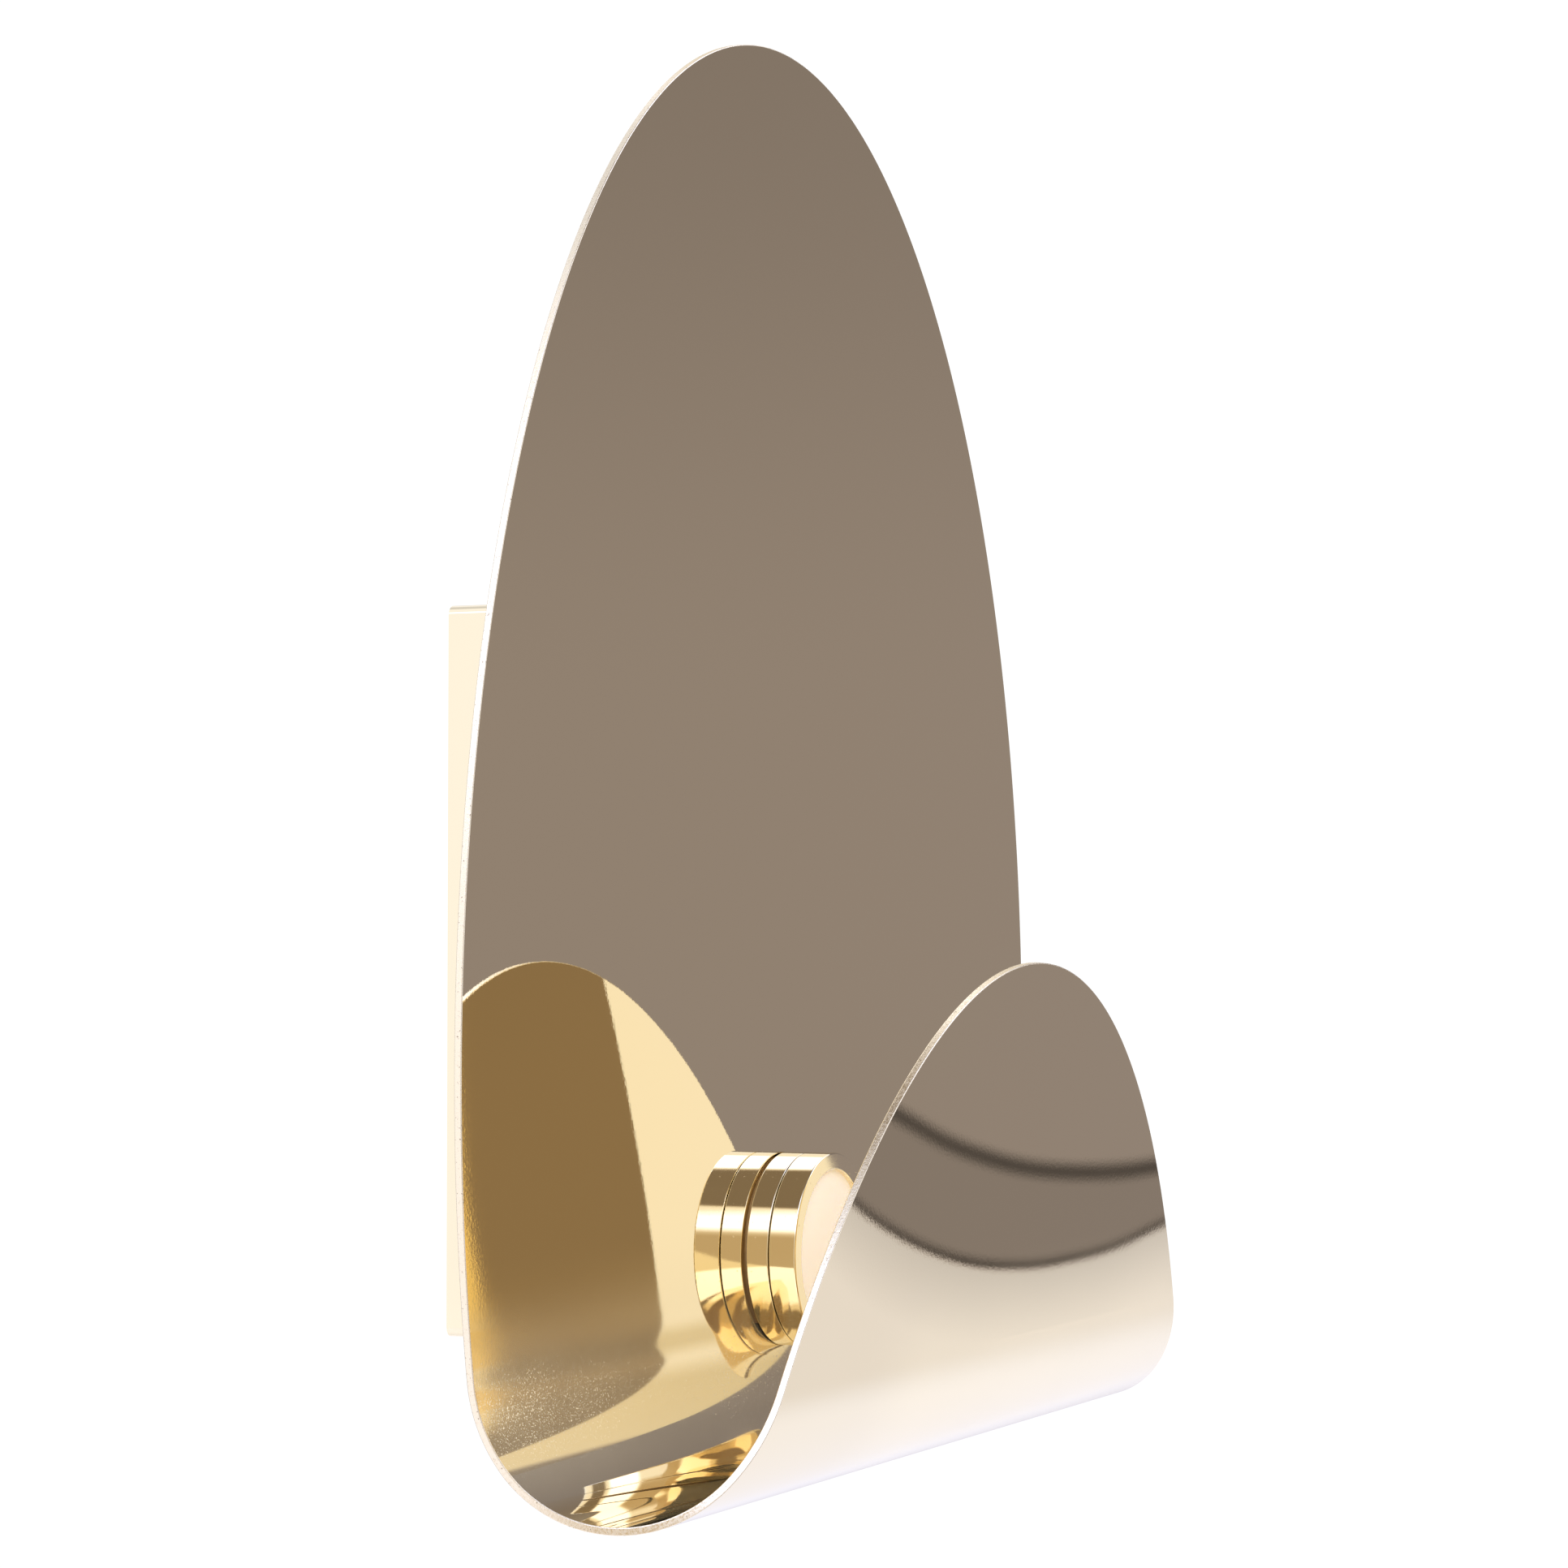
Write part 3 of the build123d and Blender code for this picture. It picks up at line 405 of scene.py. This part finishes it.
# ---------------------------------------------------------------- the reflector
sheet_low, sheet_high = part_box("reflector")
SHEET = 1.44 * MM                    # the faces stand a hair inside those of the CAD sheet
BLANK_HALF_HEIGHT = 210.0 * MM
BLANK_HALF_WIDTH = min(sheet_high[0], -sheet_low[0])
CAD_SHEET = 1.5 * MM
SHEET_MIDDLE = sheet_high[1] - CAD_SHEET / 2
BEND_START = 55.25 * MM              # below the blank's centre
SHOULDER = (29.75 * MM, radians(31))
CROWN = (23.25 * MM, radians(111.7))
EDGE_ROUND = 0.22 * MM
ROWS = 420
COLUMNS = 36
ROUND_STEPS = 3


def along_sheet(distance):
    """Middle of the sheet that far from the top tip: y, z and the turn."""
    straight = BLANK_HALF_HEIGHT + BEND_START
    step = min(distance, straight)
    y = SHEET_MIDDLE
    z = sheet_high[2] - step
    turn = 0.0
    left = distance - step
    for radius, angle in (SHOULDER, CROWN, SHOULDER):
        after = turn + min(left / radius, angle)
        y += radius * (cos(after) - cos(turn))
        z += radius * (sin(turn) - sin(after))
        left -= radius * (after - turn)
        turn = after
    return y - left * sin(turn), z - left * cos(turn), turn


def outline_point(share):
    """Rim of the blank at an angle round it: its place, the sheet's inner normal, and outward."""
    distance = BLANK_HALF_HEIGHT * (1 - cos(share))
    y, z, turn = along_sheet(distance)
    place = np.array((BLANK_HALF_WIDTH * sin(share), y, z))
    normal = np.array((0.0, -cos(turn), sin(turn)))
    travel = np.array((0.0, -sin(turn), -cos(turn)))
    tangent = np.array((BLANK_HALF_WIDTH * cos(share), 0.0, 0.0)) + travel * BLANK_HALF_HEIGHT * sin(share)
    outward = np.cross(normal, tangent)
    outward = outward / np.linalg.norm(outward)
    if np.dot(outward, np.array((sin(share), 0.0, 0.0)) - travel * cos(share)) < 0:
        outward = -outward
    return place, normal, outward


def make_reflector(face_material, edge_material):
    """Both faces as grids, joined round the rim by a filed edge with softened corners."""
    vertices, normals, faces, slots = [], [], [], []

    def add(place, normal):
        vertices.append(place)
        normals.append(normal)
        return len(vertices) - 1

    rim = [outline_point(2 * pi * index / (2 * ROWS)) for index in range(2 * ROWS)]
    borders = {}
    for side in (1, -1):
        border = [0] * (2 * ROWS)
        grid = []
        for row in range(ROWS + 1):
            place, normal, outward = rim[row]
            right = place - outward * EDGE_ROUND + normal * side * SHEET / 2
            if row in (0, ROWS):
                tip = add(right, normal * side)
                border[row] = tip
                grid.append([tip] * (COLUMNS + 1))
                continue
            line = []
            for column in range(COLUMNS + 1):
                share = -cos(pi * column / COLUMNS)
                line.append(add(right * np.array((share, 1, 1)), normal * side))
            border[row] = line[-1]
            border[2 * ROWS - row] = line[0]
            grid.append(line)
        for upper, lower in zip(grid, grid[1:]):
            for column in range(COLUMNS):
                corner = [upper[column], upper[column + 1], lower[column + 1], lower[column]]
                corner = list(dict.fromkeys(corner))
                faces.append(corner if side < 0 else corner[::-1])
                slots.append(0)
        borders[side] = border
    rings = []
    for index in range(2 * ROWS):
        place, normal, outward = rim[index]
        ring = [borders[1][index]]
        for side in (1, -1):
            core = place - outward * EDGE_ROUND + normal * side * (SHEET / 2 - EDGE_ROUND)
            for step in range(1, ROUND_STEPS + 1)[::side]:
                angle = pi / 2 * step / ROUND_STEPS
                lean = outward * sin(angle) + normal * side * cos(angle)
                ring.append(add(core + lean * EDGE_ROUND, lean))
        ring.append(borders[-1][index])
        rings.append(ring)
    for index, ring in enumerate(rings):
        following = rings[(index + 1) % len(rings)]
        for step in range(len(ring) - 1):
            faces.append((ring[step], following[step], following[step + 1], ring[step + 1]))
            slots.append(1)
    made = add_object("reflector_sheet", vertices, faces, [face_material, edge_material], slots)
    made.data.normals_split_custom_set_from_vertices([tuple(n) for n in normals])
    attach(made, "root")
    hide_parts("reflector")
    return made


# ---------------------------------------------------------------- the lamp
base_low, base_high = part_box("lamp_base")
bezel_low, bezel_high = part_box("lamp_bezel")
lens_low, lens_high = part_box("diffuser")
LAMP_CENTRE = ((base_low[0] + base_high[0]) / 2, base_high[1], (base_low[2] + base_high[2]) / 2)
LAMP_RADIUS = (base_high[0] - base_low[0]) / 2
BEZEL_BORE = 17.7 * MM
BEZEL_MOUTH = 16.6 * MM
SPIGOT = 17.65 * MM
CAVITY = 16.25 * MM
COUNTERBORE = 7.9 * MM
NIPPLE_HOLE = 5.05 * MM
BASE_SHOULDER = 4.8 * MM
BASE_LAND = 3.0 * MM
BASE_FLOOR = 1.8 * MM
SOFT = 0.22 * MM
CRISP = 0.08 * MM
LENS_PLAY = 0.02 * MM                # in front of the lens, so that the bezel turns past it


def make_lamp(metal, opal):
    """Base ring, screw-on bezel and opal lens."""
    base_depth = base_high[1] - base_low[1]
    base = turned("lamp_base_ring", (
        (NIPPLE_HOLE, 0, 0), (LAMP_RADIUS, 0, SOFT), (LAMP_RADIUS, BASE_SHOULDER, SOFT),
        (SPIGOT, BASE_SHOULDER, 0), (SPIGOT, base_depth, CRISP), (CAVITY, base_depth, CRISP),
        (CAVITY, BASE_LAND, 0), (COUNTERBORE, BASE_LAND, CRISP), (COUNTERBORE, BASE_FLOOR, 0),
        (NIPPLE_HOLE, BASE_FLOOR, CRISP),
    ), LAMP_CENTRE, base_high[1], metal)
    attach(base, "root")
    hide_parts("lamp_base")

    bezel_depth = bezel_high[1] - bezel_low[1]
    seat = bezel_high[1] - lens_low[1] + LENS_PLAY
    bezel = turned("lamp_bezel_ring", (
        (BEZEL_BORE, 0, CRISP), (LAMP_RADIUS, 0, SOFT), (LAMP_RADIUS, bezel_depth, 1.6 * SOFT),
        (BEZEL_MOUTH, bezel_depth, SOFT), (BEZEL_MOUTH, seat, 0), (BEZEL_BORE, seat, 0),
    ), LAMP_CENTRE, bezel_high[1], metal)
    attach(bezel, "bezel")
    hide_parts("lamp_bezel")

    lens_radius = (lens_high[0] - lens_low[0]) / 2
    lens_depth = lens_high[1] - lens_low[1]
    lens = turned("opal_lens", (
        (0.0001 * MM, 0, 0), (lens_radius, 0, CRISP), (lens_radius, lens_depth, CRISP),
        (0.0001 * MM, lens_depth, 0),
    ), LAMP_CENTRE, lens_high[1], opal)
    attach(lens, "lens")
    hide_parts("diffuser")


# ---------------------------------------------------------------- light
# Bearings are degrees from +X towards the front, heights degrees above the horizon.
WHITE = (1.0, 1.0, 1.0, 1.0)
WHITE_TINT = (1.0, 1.03, 1.18, 1.0)
FOOT_TINT = (1.0, 0.985, 1.10, 1.0)
FLOOR_TINT = (1.0, 1.02, 1.22, 1.0)
HAZE_TINT = (1.0, 0.94, 0.84, 1.0)
GOLD_TINT = (1.0, 0.88, 0.56, 1.0)
TAN_TINT = (1.0, 0.84, 0.66, 1.0)
WINDOW_TINT = (0.95, 1.10, 1.75, 1.0)
CARD_TINT = (1.0, 0.885, 0.92, 1.0)
CEILING_TINT = (1.0, 0.85, 0.78, 1.0)
WHITE_ROOM = 1.05
WINDOW_LIGHT = 1.8
CEILING_LIGHT = 0.235
CARD_SIDE = 28.45                    # the card's right edge at the horizon
CARD_LEAN = -0.0167                  # and its move with the square of the height
CARD_FOOT = (-8.92, 20.0, 0.165, -7.7)       # lowest height, its bearing, bow, highest
SHELF_TOP = (-7.43, 19.6, 0.110, -6.95)
HAZE_SIDE = (-34.0, -8.0, 3.0)       # first bearing, last bearing, half of each soft edge
HAZE_HEIGHT = (5.0, 13.0)
LOW_BACK = (151.0, 176.0, 2.5)
LOW_BACK_HEIGHT = (14.0, 24.0)
FLOOR_DROP = 0.9                     # the floor's depth below the light
FLOOR_HALF = 2.4
SOFT_LIGHT_PLACE = (-1.1, -0.9, 0.5)


class Room:
    """Directions around the light, and soft shapes drawn on them, in the world's node tree."""

    def __init__(self, g):
        self.g = g
        split = g.node("ShaderNodeSeparateXYZ")
        g.feed(split.inputs[0], g.node("ShaderNodeTexCoord").outputs["Generated"])
        forward = g.math("MULTIPLY", split.outputs["Y"], -1.0)
        self.bearing = g.math("DEGREES", g.math("ARCTAN2", forward, split.outputs["X"]))
        self.height = g.math("DEGREES", g.math("ARCSINE", split.outputs["Z"]))

    def bow(self, lowest, middle, rise, highest):
        """A height that rises with the square of the angle from middle, as far as highest."""
        away = self.g.math("SUBTRACT", self.bearing, middle)
        arc = self.g.math("MULTIPLY_ADD", self.g.math("MULTIPLY", away, away), rise, lowest)
        return self.g.math("MINIMUM", arc, highest)

    def above(self, edge, soft):
        """1 well above an edge, 0 well below it."""
        return self.g.smooth(self.g.math("SUBTRACT", self.height, edge), -soft, soft)

    def line(self, edge, half, depth):
        """A soft dark line, to multiply with what it crosses."""
        off = self.g.math("ABSOLUTE", self.g.math("SUBTRACT", self.height, edge))
        return self.g.smooth(off, 0.0, half, 1.0 - depth, 1.0)

    def between(self, value, low, high, soft):
        """1 between two values, with soft edges."""
        return self.g.math("MULTIPLY", self.g.smooth(value, low - soft, low + soft),
                           self.g.smooth(value, high + soft, high - soft))

    def patch(self, bearings, heights):
        """1 in a soft-edged patch of (low, high, soft) bearings and heights."""
        return self.g.math("MULTIPLY", self.between(self.bearing, *bearings),
                           self.between(self.height, *heights))


def draw_card(room, card_foot):
    """Where the grey card is, and its shade: darker above, and below the line of the shelf."""
    g = room.g
    shelf_top = room.bow(*SHELF_TOP)
    shade = g.mix(g.smooth(room.height, 3.0, 13.0), 0.295, 0.235)
    shade = g.mix(g.smooth(room.height, 15.0, 21.0), shade, 0.215)
    shade = g.mix(room.above(shelf_top, 0.10), 0.242, shade)
    shade = g.math("MULTIPLY", shade, room.line(shelf_top, 0.22, 0.70))
    shade = g.math("MULTIPLY", shade, room.line(card_foot, 0.24, 0.80))
    upward = g.math("MAXIMUM", room.height, 0.0)
    side = g.math("MULTIPLY_ADD", g.math("MULTIPLY", upward, upward), CARD_LEAN, CARD_SIDE)
    across = g.math("MULTIPLY", g.smooth(g.math("SUBTRACT", side, room.bearing), -0.04, 0.04),
                    g.smooth(room.bearing, -13.5, -11.0))
    upright = g.math("MULTIPLY", room.above(card_foot, 0.07), g.smooth(room.height, 30.5, 28.8))
    return g.math("MULTIPLY", across, upright), shade


def draw_white(room, card_foot, windows):
    """Shade of the white room: the floor's sweep, two dimmer sides, a dim low back, the windows."""
    g = room.g
    near_foot = g.math("MULTIPLY_ADD", g.math("SUBTRACT", card_foot, room.height), 0.20, 0.62)
    sweep = g.math("MINIMUM", near_foot, g.smooth(room.height, -10.2, -20.0, 0.83, 0.97))
    sweep = g.mix(room.above(card_foot, 0.07), sweep, WHITE_ROOM)
    shade = g.mix(room.between(room.bearing, -30.0, 50.0, 8.0), WHITE_ROOM, sweep)
    dim_sides = g.math("ADD", room.between(room.bearing, 74.0, 132.0, 8.0),
                       room.between(room.bearing, -112.0, -52.0, 8.0))
    dim_sides = g.math("MULTIPLY", dim_sides, g.smooth(room.height, -70.0, -30.0))
    shade = g.mix(dim_sides, shade, g.smooth(room.height, -20.0, 48.0, 0.45, 0.72))
    haze = g.smooth(room.height, *HAZE_HEIGHT, 1.0, 0.74)
    shade = g.math("MULTIPLY", shade, g.mix(room.between(room.bearing, *HAZE_SIDE), 1.0, haze))
    low_back = g.smooth(room.height, *LOW_BACK_HEIGHT, 0.58, WHITE_ROOM)
    shade = g.mix(room.between(room.bearing, *LOW_BACK), shade, low_back)
    return g.mix(windows, shade, WINDOW_LIGHT)


def draw_windows(room):
    """Where the brightest light comes from: behind, at both sides, and a strip at the right."""
    g = room.g
    behind = g.smooth(g.math("ABSOLUTE", room.bearing), 144.0, 150.0)
    back_window = g.math("MULTIPLY", behind, room.between(room.height, 22.0, 66.0, 4.0))
    return g.math("MAXIMUM", back_window, room.patch((22.0, 62.0, 3.0), (30.0, 57.0, 1.5)))


def draw_ceiling(room):
    """Where the dim ceiling is: overhead, and lower in front than behind."""
    g = room.g
    edge = g.smooth(room.bearing, 40.0, 90.0, 58.0, 61.0)
    edge = g.mix(g.smooth(room.bearing, 110.0, 143.0), edge, 46.5)
    front = g.math("MULTIPLY", room.above(edge, 1.5), room.between(room.bearing, 20.0, 150.0, 4.0))
    return g.math("MAXIMUM", front, g.smooth(room.height, 71.0, 78.0))


def draw_tint(room, windows):
    """Colour of the white room."""
    g = room.g
    floor = g.mix_colour(g.smooth(room.height, -9.5, -18.0), FOOT_TINT, FLOOR_TINT)
    tint = g.mix_colour(g.smooth(room.height, -5.0, -8.0), WHITE_TINT, floor)
    haze = g.math("MULTIPLY", room.between(room.bearing, *HAZE_SIDE), g.smooth(room.height, *HAZE_HEIGHT))
    tint = g.mix_colour(haze, tint, HAZE_TINT)
    tint = g.mix_colour(room.patch((27.0, 31.0, 0.3), (0.6, 14.0, 0.6)), tint, GOLD_TINT)
    low_back = g.math("MULTIPLY", room.between(room.bearing, *LOW_BACK),
                      g.smooth(room.height, *LOW_BACK_HEIGHT[::-1]))
    tint = g.mix_colour(low_back, tint, TAN_TINT)
    return g.mix_colour(windows, tint, WINDOW_TINT)


def make_world():
    """White studio with a grey card beyond the light's right side and a dim ceiling.

    The card shows in the flat of the sheet and in the curl. Its foot ends in two soft shadow lines
    above the white sweep of the floor.
    """
    world = bpy.data.worlds.new("studio")
    bpy.context.scene.world = world
    world.use_nodes = True
    g = Graph(world.node_tree)
    room = Room(g)
    card_foot = room.bow(*CARD_FOOT)
    on_card, card = draw_card(room, card_foot)
    windows = draw_windows(room)
    overhead = draw_ceiling(room)
    shade = g.mix(on_card, draw_white(room, card_foot, windows), card)
    shade = g.mix(overhead, shade, CEILING_LIGHT)
    tint = g.mix_colour(on_card, draw_tint(room, windows), CARD_TINT)
    tint = g.mix_colour(overhead, tint, CEILING_TINT)
    seen = g.node("ShaderNodeLightPath").outputs["Is Camera Ray"]
    background = g.node("ShaderNodeBackground")
    g.feed(background.inputs["Color"], g.mix_colour(seen, tint, WHITE))
    g.feed(background.inputs["Strength"], g.mix(seen, shade, WHITE_ROOM))
    output = g.node("ShaderNodeOutputWorld")
    world.node_tree.links.new(background.outputs[0], output.inputs["Surface"])


def make_floor():
    """A pale matt floor well below the light."""
    material, g = new_graph("pale_floor")
    shader = g.principled(Base_Color=(0.92, 0.92, 0.91, 1.0), Roughness=0.9,
                          Normal=g.bump(g.noise(g.place(), 60.0), 0.05, 0.001))
    shader.inputs["Emission Color"].default_value = WHITE
    shader.inputs["Emission Strength"].default_value = 0.5
    level = cad_bounds[0][2] - FLOOR_DROP
    corners = [(x * FLOOR_HALF, y * FLOOR_HALF, level) for x, y in ((-1, -1), (1, -1), (1, 1), (-1, 1))]
    floor = add_object("floor", corners, [(0, 1, 2, 3)], [material])
    floor.visible_glossy = False


def make_soft_light():
    """One large soft light from above and in front, for what isn't mirror bright."""
    data = bpy.data.lights.new("soft_light", "AREA")
    data.energy = 30.0
    data.size = 1.0
    lamp = bpy.data.objects.new("soft_light", data)
    lamp.location = SOFT_LIGHT_PLACE
    lamp.rotation_euler = (Vector((0, 0, 0)) - lamp.location).to_track_quat("-Z", "Y").to_euler()
    lamp.visible_glossy = False
    lamp.visible_camera = False
    bpy.context.scene.collection.objects.link(lamp)


# ---------------------------------------------------------------- put together
ZINC = (0.70, 0.69, 0.65, 1.0)
brass_face = polished_brass()
by_slot = {
    "polished_brass": brass_face,
    "brass_fittings": plain_metal("brass_fittings", (0.80, 0.62, 0.33, 1.0), 0.25, 1800.0),
    "zinc_steel": plain_metal("zinc_steel", ZINC, 0.35, 900.0),
    "fibre_washer": moulded("pressed_fibre", (0.48, 0.31, 0.14, 1.0), 0.7, 1200.0),
    "black_rubber": moulded("black_rubber", (0.025, 0.025, 0.025, 1.0), 0.75),
    "white_plastic": moulded("white_plastic", (0.82, 0.82, 0.79, 1.0), 0.45),
    "circuit_board": circuit_board(),
    "ferrite": moulded("winding_tape", (0.62, 0.45, 0.06, 1.0), 0.4, 500.0),
    "capacitor_sleeve": moulded("capacitor_sleeve", (0.03, 0.035, 0.06, 1.0), 0.3, 400.0),
    "thermal_pad": moulded("thermal_pad", (0.45, 0.48, 0.52, 1.0), 0.8),
    "led_board": moulded("white_solder_mask", (0.88, 0.88, 0.85, 1.0), 0.3),
    "led_phosphor": moulded("led_phosphor", (0.90, 0.72, 0.18, 1.0), 0.5),
    "clear_silicone": moulded("silicone", (0.80, 0.79, 0.75, 1.0), 0.5),
    "opal_diffuser": opal_diffuser(),
    "red_lead": moulded("red_sleeve", (0.50, 0.02, 0.015, 1.0), 0.35),
    "black_lead": moulded("black_sleeve", (0.02, 0.02, 0.02, 1.0), 0.35),
    "brown_lead": moulded("brown_sleeve", (0.18, 0.07, 0.03, 1.0), 0.35),
    "blue_lead": moulded("blue_sleeve", (0.02, 0.10, 0.45, 1.0), 0.35),
    "green_yellow_lead": earth_sleeve(),
}
for part in frame["record"]["subparts"]:
    mesh = nodes[part["node"]].data
    for index in range(max(1, len(mesh.materials))):
        if index < len(mesh.materials):
            mesh.materials[index] = by_slot[part["material_slot"]]
        else:
            mesh.materials.append(by_slot[part["material_slot"]])

make_world()
make_floor()
make_soft_light()
make_reflector(brass_face, sawn_brass())
make_lamp(turned_brass(), by_slot["opal_diffuser"])

scene = bpy.context.scene
scene.view_settings.view_transform = "Standard"
